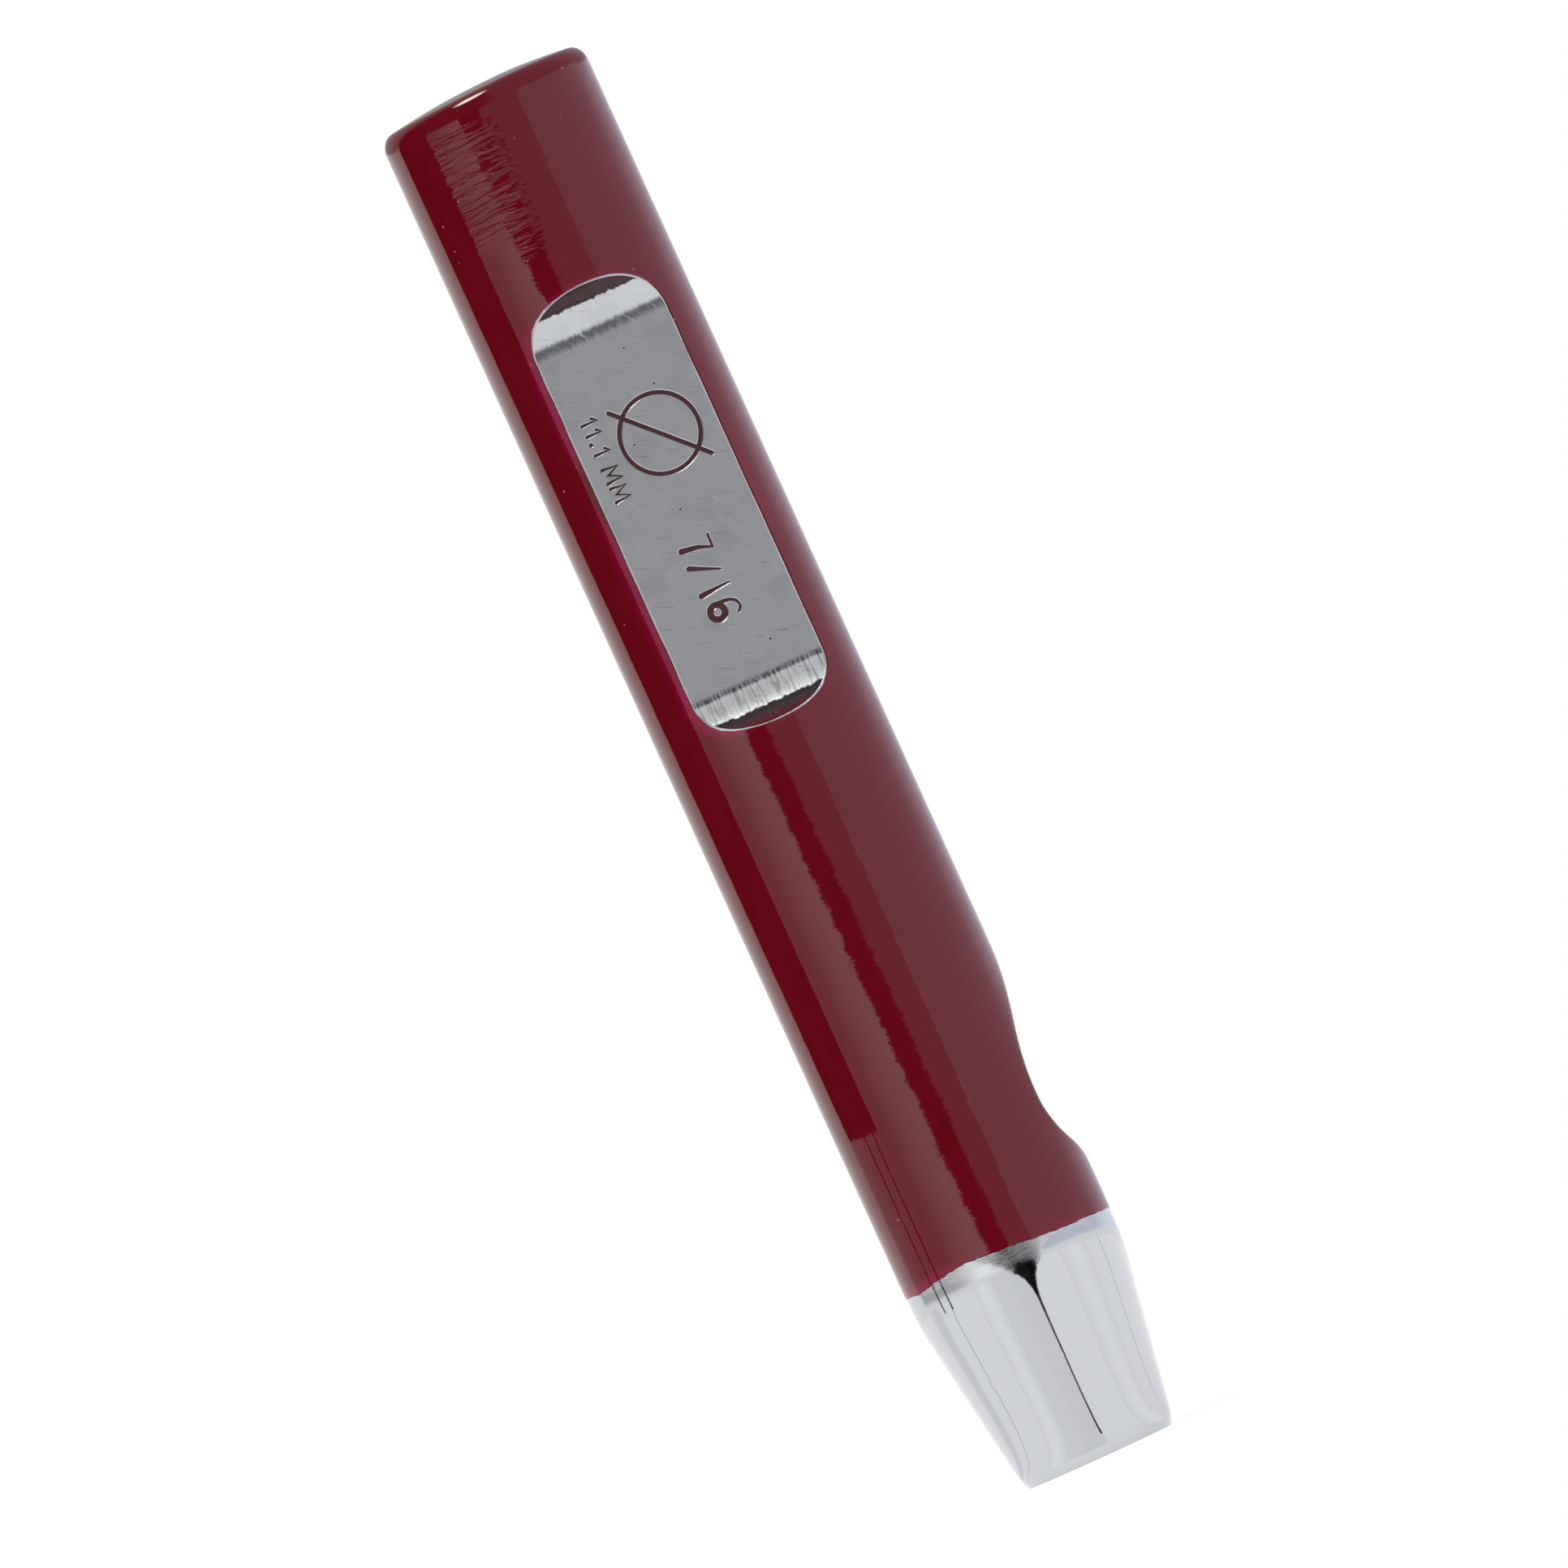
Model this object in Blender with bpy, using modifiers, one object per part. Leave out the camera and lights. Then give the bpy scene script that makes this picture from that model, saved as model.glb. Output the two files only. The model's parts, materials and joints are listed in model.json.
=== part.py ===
"""Drive punch that cuts 7/16 in (11.1 mm) round holes in leather.

Units are metres and +Z is up. The punch stands on its cutting edge: the origin is the
centre of that edge, +Z runs along the axis to the struck head, and the stamped flat
faces -Y. The steel is one bar. The red lacquer is a skin over it, and what stayed in
each stamped mark is a solid of its own.
"""

import math

import bmesh
import bpy
import numpy as np
from mathutils import Matrix

MM = 0.001

# Bar and lacquer
LENGTH = 107.5 * MM  # cutting edge to the top of the lacquered head
BAR_RADIUS = 7.9375 * MM  # 5/8 in round bar
COAT = 0.0625 * MM  # how far the lacquer stands out from the bar
COAT_FIT = 0.01 * MM  # clearance between the bar and the lacquer
COAT_FOOT = 16.1 * MM  # height where the lacquer ends and the polished steel begins

# Struck head
FACE_RADIUS = 3.0 * MM  # flat middle of the head
DOME_RADIUS = 85.0 * MM
HEAD_FILLET = 1.05 * MM

# Cutting end
EDGE_RADIUS = 5.556 * MM  # half of 7/16 in
CONE_FOOT = 5.835 * MM  # where the cone's line meets the plane of the edge
CONE_ANGLE = math.radians(8.68)
SHOULDER_RUN = 1.6 * MM  # how far the rounded shoulder reaches above and below its corner
HONED_HEIGHT = 1.6 * MM  # height of the honed bevel above the edge

# Bore, blind at the top with a drill point
BORE_MOUTH = 5.50 * MM
BORE_BACK = 5.85 * MM
BORE_DEPTH = 30.0 * MM
DRILL_POINT = math.radians(59.0)

# Slug window: a scoop across the bar, with a short lip below and a long ramp above
WINDOW_TURN = math.radians(135.0)  # from the direction of the flat, about +Z
WINDOW_HEIGHT = 25.6 * MM  # of its deepest line
WINDOW_FLOOR = 0.83 * MM  # from the axis to its deepest line
LIP_RADIUS = 5.0 * MM
LIP_SLOPE = math.radians(55.0)
RAMP_RADIUS = 10.7 * MM
RAMP_SLOPE = math.radians(31.0)

# Milled flat and the ramps where the cutter ran out
FLAT_DISTANCE = 6.09 * MM  # from the axis
FLAT_FOOT = 60.8 * MM
FLAT_HEAD = 87.35 * MM
FOOT_RUN = 3.4 * MM  # length of the lower ramp
HEAD_RUN = 4.0 * MM  # length of the upper ramp

# Stamped marks
STAMP_DEPTH = 0.30 * MM
FILL_SUNK = 0.05 * MM  # how far the lacquer lies below the flat
FILL_FIT = 0.02 * MM  # clearance round each fill
SIZE_START = 71.5 * MM  # height where the first digit of the hole size begins
SIZE_BASE = -1.42 * MM  # where its base line lies across the flat
SIGN_CENTRE = (79.4 * MM, 0.9 * MM)  # height, and place across the flat
SIGN_RADIUS = 3.05 * MM
SIGN_LINE = 0.27 * MM
SIGN_SLASH = 3.95 * MM  # half length of the bar through the diameter sign
LABEL_START = 82.4 * MM
LABEL_BASE = -4.1 * MM
LABEL_HEIGHT = 1.34 * MM
LABEL_LINE = 0.20 * MM

STEPS = 64  # facets round the bar
REACH = 12.0 * MM  # cutters reach this far from the axis

FACING = Matrix(((0, 1, 0), (0, 0, -1), (-1, 0, 0))).to_4x4()  # reading direction, up, out


def metal(name, colour, roughness, metallic):
    material = bpy.data.materials.new(name)
    material.use_nodes = True
    shader = material.node_tree.nodes["Principled BSDF"]
    shader.inputs["Base Color"].default_value = (*colour, 1)
    shader.inputs["Roughness"].default_value = roughness
    shader.inputs["Metallic"].default_value = metallic
    return material


def new_object(name, mesh, collection):
    made = bpy.data.objects.new(name, mesh)
    collection.objects.link(made)
    return made


def bend(centre, radius, start, end, count):
    """Points on an arc, where an angle is how far the surface's normal dips below level."""
    angles = np.linspace(start, end, count)
    return [
        (centre[0] + radius * math.cos(a), centre[1] - radius * math.sin(a)) for a in angles
    ]


def shank_outline(grown):
    """Middle of the head, out over the dome and round the fillet to the side of the bar."""
    radius = BAR_RADIUS + grown
    top = LENGTH - COAT + grown
    tilt = math.asin((radius - HEAD_FILLET) / DOME_RADIUS)
    rim = radius - HEAD_FILLET + HEAD_FILLET * math.sin(tilt)
    dome = [
        (r, top - (r * r - FACE_RADIUS**2) / (2 * DOME_RADIUS))
        for r in np.linspace(FACE_RADIUS, rim, 4)
    ]
    centre = (radius - HEAD_FILLET, dome[-1][1] - HEAD_FILLET * math.cos(tilt))
    fillet = bend(centre, HEAD_FILLET, tilt - math.pi / 2, 0, 7)
    return [(0, top)] + dome + fillet[1:]


def tip_outline():
    """Shoulder, cone and honed bevel down to the cutting edge, then up the bore."""
    corner = (BAR_RADIUS - CONE_FOOT) / math.tan(CONE_ANGLE)
    round_off = SHOULDER_RUN / math.tan(CONE_ANGLE / 2)
    shoulder = bend(
        (BAR_RADIUS - round_off, corner + SHOULDER_RUN), round_off, 0, CONE_ANGLE, 5
    )
    start = (CONE_FOOT + HONED_HEIGHT * math.tan(CONE_ANGLE), HONED_HEIGHT)
    across = start[0] - EDGE_RADIUS
    turn = math.atan2(across, HONED_HEIGHT) - CONE_ANGLE
    radius = math.hypot(across, HONED_HEIGHT) / (2 * math.sin(turn))
    centre = (
        start[0] - radius * math.cos(CONE_ANGLE),
        start[1] + radius * math.sin(CONE_ANGLE),
    )
    honed = bend(centre, radius, CONE_ANGLE, CONE_ANGLE + 2 * turn, 5)
    return shoulder + honed[:-1] + [(EDGE_RADIUS, 0)] + bore_outline(0)


def bore_outline(grown):
    """Mouth of the bore up to its drill point."""
    apex = BORE_DEPTH + (BORE_BACK + grown) / math.tan(DRILL_POINT)
    return [(BORE_MOUTH + grown, 0), (BORE_BACK + grown, BORE_DEPTH), (0, apex)]


def turned(name, outline, collection):
    """Solid of revolution of an outline that starts and ends on the axis."""
    mesh = bpy.data.meshes.new(name)
    count = len(outline)
    mesh.from_pydata(
        [(r, 0, z) for r, z in outline], [(i, i + 1) for i in range(count - 1)], []
    )
    made = new_object(name, mesh, collection)
    screw = made.modifiers.new("turn", "SCREW")
    screw.axis = "Z"
    screw.angle = 2 * math.pi
    screw.steps = STEPS
    screw.render_steps = STEPS
    screw.use_merge_vertices = True
    screw.merge_threshold = 0.005 * MM
    screw.use_smooth_shade = True
    return made


def plate(name, loops, thickness, placing, collection):
    """Flat outline given thickness, then placed by a matrix. It is drawn in millimetres."""
    curve = bpy.data.curves.new(name, "CURVE")
    curve.dimensions = "2D"
    curve.fill_mode = "BOTH"
    curve.extrude = thickness / 2 / MM
    for loop in loops:
        spline = curve.splines.new("POLY")
        spline.points.add(len(loop) - 1)
        for point, (x, y) in zip(spline.points, loop):
            point.co = (x / MM, y / MM, 0, 1)
        spline.use_cyclic_u = True
    drawn = new_object(name + "_curve", curve, collection)
    graph = bpy.context.evaluated_depsgraph_get()
    mesh = bpy.data.meshes.new_from_object(drawn.evaluated_get(graph))
    bpy.data.objects.remove(drawn)
    welded = bmesh.new()
    welded.from_mesh(mesh)
    bmesh.ops.remove_doubles(welded, verts=welded.verts, dist=0.001)
    bmesh.ops.recalc_face_normals(welded, faces=welded.faces)
    welded.to_mesh(mesh)
    welded.free()
    mesh.name = name
    mesh.transform(placing @ Matrix.Scale(MM, 4))
    return new_object(name, mesh, collection)


def boolean(target, other, operation):
    step = target.modifiers.new(operation.lower(), "BOOLEAN")
    step.operation = operation
    step.object = other
    step.solver = "EXACT"


def settled(target, material):
    """The object with its modifiers made real, shaded smooth and given its material."""
    graph = bpy.context.evaluated_depsgraph_get()
    mesh = bpy.data.meshes.new_from_object(target.evaluated_get(graph))
    target.modifiers.clear()
    target.data = mesh
    mesh.name = target.name
    mesh.shade_smooth()
    mesh.set_sharp_from_angle(angle=math.radians(25))
    mesh.materials.clear()
    mesh.materials.append(material)


def as_cutter(target):
    target.hide_render = True
    target.display_type = "WIRE"
    return target


def run_out(run, rise):
    """Radius of the milling cutter whose arc rises that much over that run."""
    return (run * run + rise * rise) / (2 * rise)


def flat_loop():
    """Section of the milled flat: ramp, floor and ramp, closed outside the bar."""
    rise = BAR_RADIUS + COAT - FLAT_DISTANCE
    loop = []
    for height, run, side in ((FLAT_FOOT, FOOT_RUN, -1), (FLAT_HEAD, HEAD_RUN, 1)):
        radius = run_out(run, rise)
        last = math.acos(1 - (rise + 0.3 * MM) / radius)
        ramp = [
            (height + side * radius * math.sin(a), FLAT_DISTANCE + radius * (1 - math.cos(a)))
            for a in np.linspace(0, last, 10)
        ]
        ramp.append((ramp[-1][0], REACH))
        loop += ramp[::-1] if side < 0 else ramp
    return loop


def window_loop(skin):
    """Section of the slug window, with a skin of that thickness left on its floor."""
    middle = WINDOW_HEIGHT
    lip = LIP_RADIUS - skin
    ramp = RAMP_RADIUS - skin
    loop = [
        (middle - lip * math.sin(a), WINDOW_FLOOR + LIP_RADIUS - lip * math.cos(a))
        for a in np.linspace(LIP_SLOPE, 0, 9)
    ]
    loop += [
        (middle + ramp * math.sin(a), WINDOW_FLOOR + RAMP_RADIUS - ramp * math.cos(a))
        for a in np.linspace(0, RAMP_SLOPE, 9)[1:]
    ]
    below = loop[0][0] - (REACH - loop[0][1]) / math.tan(LIP_SLOPE)
    above = loop[-1][0] + (REACH - loop[-1][1]) / math.tan(RAMP_SLOPE)
    return [(below, REACH)] + loop + [(above, REACH)]


def across_bar(turn):
    """Placing of a section: height to +Z, and outwards to a direction turned from -Y."""
    out = (math.sin(turn), -math.cos(turn), 0)
    side = (-out[1], out[0], 0)
    return Matrix(((0, out[0], side[0]), (0, out[1], side[1]), (1, 0, 0))).to_4x4()


def grown(loop, distance):
    """The closed loop with each side moved out of the shape by a distance."""
    points = np.array(loop)
    ahead = np.roll(points, -1, axis=0) - points
    ahead /= np.linalg.norm(ahead, axis=1)[:, None]
    out = np.column_stack((ahead[:, 1], -ahead[:, 0]))
    before = np.roll(out, 1, axis=0)
    mitre = (out + before) / (1 + (out * before).sum(axis=1))[:, None]
    return [tuple(p) for p in points + distance * mitre]


def stroke(points, widths):
    """One loop round a line of varying width, with rounded ends."""
    line = np.array(points) * MM
    half = np.array(widths) * MM / 2
    ahead = np.diff(line, axis=0)
    ahead /= np.linalg.norm(ahead, axis=1)[:, None]
    normals = np.column_stack((-ahead[:, 1], ahead[:, 0]))
    first = np.vstack((normals[:1], normals))
    second = np.vstack((normals, normals[-1:]))
    spread = np.maximum(1 + (first * second).sum(axis=1), 0.8)
    sides = (first + second) / spread[:, None] * half[:, None]
    loop = [tuple(p) for p in line - sides]
    loop += round_end(line[-1], ahead[-1], half[-1])
    loop += [tuple(p) for p in (line + sides)[::-1]]
    return loop + round_end(line[0], -ahead[0], half[0])


def round_end(centre, ahead, radius):
    """Points of a half circle, from the right of the way ahead to its left."""
    heading = math.atan2(ahead[1], ahead[0])
    return [
        (centre[0] + radius * math.cos(heading + a), centre[1] + radius * math.sin(heading + a))
        for a in np.linspace(-math.pi / 2, math.pi / 2, 6)[1:-1]
    ]


def circle(centre, radius, count, way=1):
    angles = way * np.arange(count) * 2 * math.pi / count
    return [(centre[0] + radius * math.cos(a), centre[1] + radius * math.sin(a)) for a in angles]


def ring(centre, radius, hole, count):
    return [circle(centre, radius, count), circle(centre, hole, count, -1)]


def size_marks():
    """Hole size, hand-stamped with wedge strokes that are widest at the base line."""
    seven = stroke([(0.04, 2.42), (0.98, 2.40), (0.62, 1.45), (0.44, 0.2)], [0.14, 0.15, 0.26, 0.4])
    slash = stroke([(1.77, 0.17), (2.66, 2.24)], [0.34, 0.08])
    one = stroke([(3.91, 0.19), (3.82, 1.3), (3.76, 2.42)], [0.38, 0.22, 0.1])
    bowl = ring((5.41 * MM, 0.77 * MM), 0.74 * MM, 0.32 * MM, 28)
    tail = stroke(
        [(4.86, 1.05), (4.86, 1.55), (4.93, 1.97), (5.12, 2.3), (5.4, 2.45), (5.7, 2.42), (5.98, 2.17)],
        [0.3, 0.24, 0.18, 0.15, 0.14, 0.13, 0.11],
    )
    return {
        "size_seven_fill": [[seven]],
        "size_slash_fill": [[slash]],
        "size_one_fill": [[one]],
        "size_six_fill": [bowl, [tail]],
    }


def sign_marks():
    """Diameter sign: a ring with a bar through it."""
    diagonal = SIGN_SLASH / MM * math.sqrt(0.5)
    line = SIGN_LINE / MM
    bar = stroke([(-diagonal, -diagonal), (diagonal, diagonal)], [line, line])
    loops = ring((0, 0), SIGN_RADIUS, SIGN_RADIUS - SIGN_LINE, STEPS)
    return {"diameter_sign_fill": [loops, [bar]]}


def label_marks():
    """The same size in millimetres, as a line of small characters."""
    tall = LABEL_HEIGHT / MM
    line = LABEL_LINE / MM
    marks = {}
    for name, place in (("first", 0.3), ("second", 1.15), ("third", 2.6)):
        path = [(place - 0.26, tall - 0.42), (place, tall - 0.1), (place, 0.1)]
        marks[f"label_{name}_one_fill"] = [[stroke(path, [line * 0.8, line, line])]]
    marks["label_point_fill"] = [[circle((1.78 * MM, 0.14 * MM), 0.14 * MM, 12)]]
    for name, place in (("first", 3.75), ("second", 5.2)):
        path = [(0, 0.1), (0.1, tall - 0.1), (0.52, 0.35), (0.94, tall - 0.1), (1.04, 0.1)]
        letter = stroke([(place + u, v) for u, v in path], [line] * 5)
        marks[f"label_{name}_m_fill"] = [[letter]]
    return marks


def stamped(marks, height, across, parts, cutters, steel, lacquer):
    """Cuts each mark into the steel and lays its lacquer in it."""
    depth = STAMP_DEPTH - FILL_FIT - FILL_SUNK
    clear = 0.5 * MM
    for name, shapes in marks.items():
        pieces = []
        for number, loops in enumerate(shapes):
            place = Matrix.Translation((across, -FLAT_DISTANCE, height)) @ FACING
            fill_place = place @ Matrix.Translation((0, 0, -FILL_SUNK - depth / 2))
            pit_place = place @ Matrix.Translation((0, 0, (clear - STAMP_DEPTH) / 2))
            pit_loops = [grown(loop, FILL_FIT) for loop in loops]
            where = parts if number == 0 else cutters
            tag = name if number == 0 else f"{name}_{number}"
            pieces.append(plate(tag, loops, depth, fill_place, where))
            pit = plate(
                f"{name}_pit_{number}", pit_loops, STAMP_DEPTH + clear, pit_place, cutters
            )
            boolean(steel, as_cutter(pit), "DIFFERENCE")
        for extra in pieces[1:]:
            boolean(pieces[0], as_cutter(extra), "UNION")
        settled(pieces[0], lacquer)


def main():
    for old in list(bpy.data.objects):
        bpy.data.objects.remove(old)
    parts = bpy.data.collections.new("drive_punch")
    cutters = bpy.data.collections.new("cutters")
    bpy.context.scene.collection.children.link(parts)
    bpy.context.scene.collection.children.link(cutters)
    steel_finish = metal("polished tool steel", (0.62, 0.63, 0.65), 0.18, 1.0)
    coat_finish = metal("red baked lacquer", (0.16, 0.004, 0.012), 0.12, 0.0)
    fill_finish = metal("lacquer left in the stamps", (0.10, 0.006, 0.012), 0.4, 0.0)

    flat = as_cutter(
        plate("flat_cutter", [flat_loop()], 2 * REACH, across_bar(0), cutters)
    )
    window = as_cutter(
        plate("window_cutter", [window_loop(0)], 2 * REACH, across_bar(WINDOW_TURN), cutters)
    )

    steel = turned("steel_body", shank_outline(0) + tip_outline(), parts)
    boolean(steel, flat, "DIFFERENCE")
    boolean(steel, window, "DIFFERENCE")

    coat = turned(
        "lacquer_coat",
        shank_outline(COAT) + [(BAR_RADIUS + COAT, COAT_FOOT), (0, COAT_FOOT)],
        parts,
    )
    outer_window = plate(
        "coat_window_cutter", [window_loop(COAT)], 2 * REACH, across_bar(WINDOW_TURN), cutters
    )
    boolean(coat, as_cutter(outer_window), "DIFFERENCE")
    below = COAT_FOOT - 1 * MM
    core = turned(
        "coat_core",
        shank_outline(COAT_FIT) + [(BAR_RADIUS + COAT_FIT, below), (0, below)],
        cutters,
    )
    inner_window = plate(
        "core_window_cutter", [window_loop(COAT_FIT)], 2 * REACH, across_bar(WINDOW_TURN), cutters
    )
    boolean(core, as_cutter(inner_window), "DIFFERENCE")
    boolean(coat, as_cutter(core), "DIFFERENCE")
    boolean(coat, flat, "DIFFERENCE")
    bore = turned("bore_cutter", bore_outline(COAT_FIT)[::-1] + [(0, 0)], cutters)
    boolean(coat, as_cutter(bore), "DIFFERENCE")
    settled(coat, coat_finish)

    for marks, height, across in (
        (size_marks(), SIZE_START, SIZE_BASE),
        (sign_marks(), *SIGN_CENTRE),
        (label_marks(), LABEL_START, LABEL_BASE),
    ):
        stamped(marks, height, across, parts, cutters, steel, fill_finish)
    settled(steel, steel_finish)


main()
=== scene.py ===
"""Looks of the drive punch: lacquered shank, stamped flat, polished cutting end.

Shapes are worked out in millimetres and go into the meshes in metres.
"""

import json
import math

import bpy
import numpy as np
from mathutils import Matrix, Vector


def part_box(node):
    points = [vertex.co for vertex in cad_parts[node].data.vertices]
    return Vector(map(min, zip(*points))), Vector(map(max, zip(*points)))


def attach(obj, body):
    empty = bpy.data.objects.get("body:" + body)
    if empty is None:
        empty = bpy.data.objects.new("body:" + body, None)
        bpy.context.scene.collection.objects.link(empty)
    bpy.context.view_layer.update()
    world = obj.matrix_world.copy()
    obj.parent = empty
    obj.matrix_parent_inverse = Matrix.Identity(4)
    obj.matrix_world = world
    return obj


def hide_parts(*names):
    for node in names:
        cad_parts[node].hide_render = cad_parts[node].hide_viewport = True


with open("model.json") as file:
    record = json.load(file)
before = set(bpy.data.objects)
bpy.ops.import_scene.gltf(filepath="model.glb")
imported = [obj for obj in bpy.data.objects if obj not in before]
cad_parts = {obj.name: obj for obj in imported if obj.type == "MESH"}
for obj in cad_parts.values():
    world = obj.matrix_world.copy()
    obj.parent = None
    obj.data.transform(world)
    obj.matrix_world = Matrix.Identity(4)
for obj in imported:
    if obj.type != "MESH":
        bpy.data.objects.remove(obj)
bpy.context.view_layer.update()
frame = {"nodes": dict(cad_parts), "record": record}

MM = 0.001


def box_mm(node):
    """Lowest and highest corner of a CAD node, in millimetres."""
    low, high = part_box(node)
    return np.array(low) / MM, np.array(high) / MM


_, COAT_HIGH = box_mm("lacquer_coat")
_, STEEL_HIGH = box_mm("steel_body")
MOUNTS = {mount["name"]: mount for mount in frame["record"]["mounts"]}

COAT_RADIUS = COAT_HIGH[0]
BAR_RADIUS = STEEL_HIGH[0]
HEAD_TOP = COAT_HIGH[2]
STEEL_TOP = STEEL_HIGH[2]
FLAT_DISTANCE = -MOUNTS["stamped_flat"]["pos_m"][1] / MM

# Struck head
FACE_RADIUS = 3.0
DOME_RADIUS = 58.0
HEAD_FILLET = 1.05
HEAD_SLANT = math.tan(math.radians(2.6))  # the head was not dressed quite square
RIM_STRETCH = 1.35  # the struck rim is rounded further down the side than across the face

# Cutting end: cone, rounded shoulder above it and honed bevel below it
CONE_FOOT = 5.835
CONE_ANGLE = math.radians(8.68)
SHOULDER_RUN = 1.6
HONED_HEIGHT = 1.6
EDGE_RADIUS = 5.556
BORE_MOUTH = 5.50
BORE_BACK = 5.85
BORE_DEPTH = 30.0
DRILL_POINT = math.radians(59)
PASS_HEIGHT = 7.9  # where the lower grinding pass on the cone begins

# Slug window
WINDOW_TURN = math.radians(45)  # direction it faces, from +X
WINDOW_HEIGHT = 25.6
WINDOW_FLOOR = 0.83
LIP_RADIUS = 5.0
LIP_SLOPE = math.radians(55)
RAMP_RADIUS = 10.7
RAMP_SLOPE = math.radians(31)
RIM_BLEND = 1.1  # how far the window's rim is rounded

# Milled flat and the run-outs of the cutter
FLAT_TURN = math.radians(-90)
FLAT_FOOT = 60.8
FLAT_HEAD = 87.35
FOOT_RUN = 3.4
HEAD_RUN = 4.0

# Stamped marks: (depth below the flat, how far the outline is widened) from the surface down
PIT_LEVELS = ((-0.04, 0.135), (0.05, 0.02), (0.31, 0.02))

# Lacquer
LACQUER = 0.05
SKIN = COAT_RADIUS - BAR_RADIUS
COAT_FOOT = 15.95

# Grid that all round surfaces share: columns are spread evenly about a centre that is set
# back from the window, which brings them closer together on the flat and in the window's walls.
COLUMNS = 240
SET_BACK = 4.0
CENTRE = -SET_BACK * np.array([math.cos(WINDOW_TURN), math.sin(WINDOW_TURN)])

# Camera and light: angles are measured from the camera, positive to its right
VIEW_TURN = math.radians(6.8)  # the flat is turned this far to the camera's right
VIEW_ROLL = math.radians(24.44)
VIEW_DISTANCE = 3000.0
VIEW_WIDTH = 111.8
VIEW_SIDE = -0.69
VIEW_HEIGHT = 53.0
LAMP_TURN = math.radians(-47)
LAMP_RISE = math.radians(76)
LAMP_SIZE = math.radians(9)
LAMP_GLOW = 16.0
TABLE_RADIUS = 240.0
TABLE_GLOW = 0.88
STRIP_START = 6.5  # the reflected strips on the table start just outside the cutting edge
STRIP_END = 238.0
CARD_DISTANCE = 60.0
CARD_FOOT = 27.3
CARD_TOP = 150.0
LEG_FOOT = 8.0
FUNNEL_DISTANCE = 40.0

SMOOTH_ANGLE = 25  # degrees; edges that bend more than this stay sharp


# ---------------------------------------------------------------- meshes


def put_mesh(name, points, faces, smooth_angle=SMOOTH_ANGLE, materials=(), slots=None):
    """Object at the origin from points in millimetres and an array of faces."""
    mesh = bpy.data.meshes.new(name)
    mesh.from_pydata((np.asarray(points) * MM).tolist(), [], np.asarray(faces).tolist())
    if slots is not None:
        mesh.polygons.foreach_set("material_index", np.asarray(slots, np.int32))
    mesh.update()
    mesh.shade_smooth()
    mesh.set_sharp_from_angle(angle=math.radians(smooth_angle))
    for finish in materials:
        mesh.materials.append(finish)
    made = bpy.data.objects.new(name, mesh)
    bpy.context.scene.collection.objects.link(made)
    return made


def point_values(piece, name, values):
    """Stores one number per point of the mesh."""
    layer = piece.data.attributes.new(name, "FLOAT", "POINT")
    layer.data.foreach_set("value", np.asarray(values, np.float32))


def used_only(points, faces):
    """The mesh without the points that no face uses, and which points were kept."""
    used, renumbered = np.unique(faces, return_inverse=True)
    return points[used], renumbered.reshape(faces.shape), used


def settle(piece):
    """Makes the object's modifiers real."""
    graph = bpy.context.evaluated_depsgraph_get()
    mesh = bpy.data.meshes.new_from_object(piece.evaluated_get(graph))
    piece.modifiers.clear()
    piece.data = mesh
    mesh.name = piece.name
    mesh.shade_smooth()
    mesh.set_sharp_from_angle(angle=math.radians(SMOOTH_ANGLE))


def boolean(piece, tool, operation, use_self):
    """Applies a boolean with another object, which is then removed."""
    step = piece.modifiers.new(operation.lower(), "BOOLEAN")
    step.operation = operation
    step.object = tool
    step.solver = "EXACT"
    step.material_mode = "TRANSFER"
    step.use_self = use_self
    settle(piece)
    bpy.data.objects.remove(tool)


def block(low, high):
    """Closed box between two corners."""
    corners = [[(low, high)[bit >> k & 1][k] for k in range(3)] for bit in range(8)]
    sides = [(0, 2, 3, 1), (4, 5, 7, 6), (0, 1, 5, 4), (2, 6, 7, 3), (0, 4, 6, 2), (1, 3, 7, 5)]
    return put_mesh("block", corners, sides)


def cut_away(piece, tools):
    """Cuts closed shapes, given as (points, faces, finish), from the piece in one step.

    The shapes are first clipped to a block, which also clears up where a shape's own
    widened walls run through each other.
    """
    points, faces, slots, first = [], [], [], 0
    for number, (tool_points, tool_faces, _) in enumerate(tools):
        points.append(tool_points)
        faces.append(tool_faces + first)
        slots.append(np.full(len(tool_faces), number))
        first += len(tool_points)
    finishes = [finish for _, _, finish in tools]
    points, faces, slots = np.vstack(points), np.vstack(faces), np.concatenate(slots)
    tool = put_mesh("tool", points, faces, SMOOTH_ANGLE, finishes, slots)
    boolean(tool, block((-20, -20, -20), (20, 20, 120)), "INTERSECT", True)
    boolean(piece, tool, "DIFFERENCE", False)


def bend(centre, radius, start, end, count):
    """Points on an arc; an angle is how far the surface's normal dips below level."""
    a = np.linspace(start, end, count)
    return np.column_stack((centre[0] + radius * np.cos(a), centre[1] - radius * np.sin(a)))


def spaced(start, end, step):
    """Evenly spaced heights from start to just before end."""
    count = max(1, round(abs(start - end) / step))
    return np.linspace(start, end, count + 1)[:-1]


# ---------------------------------------------------------------- profile of the bar


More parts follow.
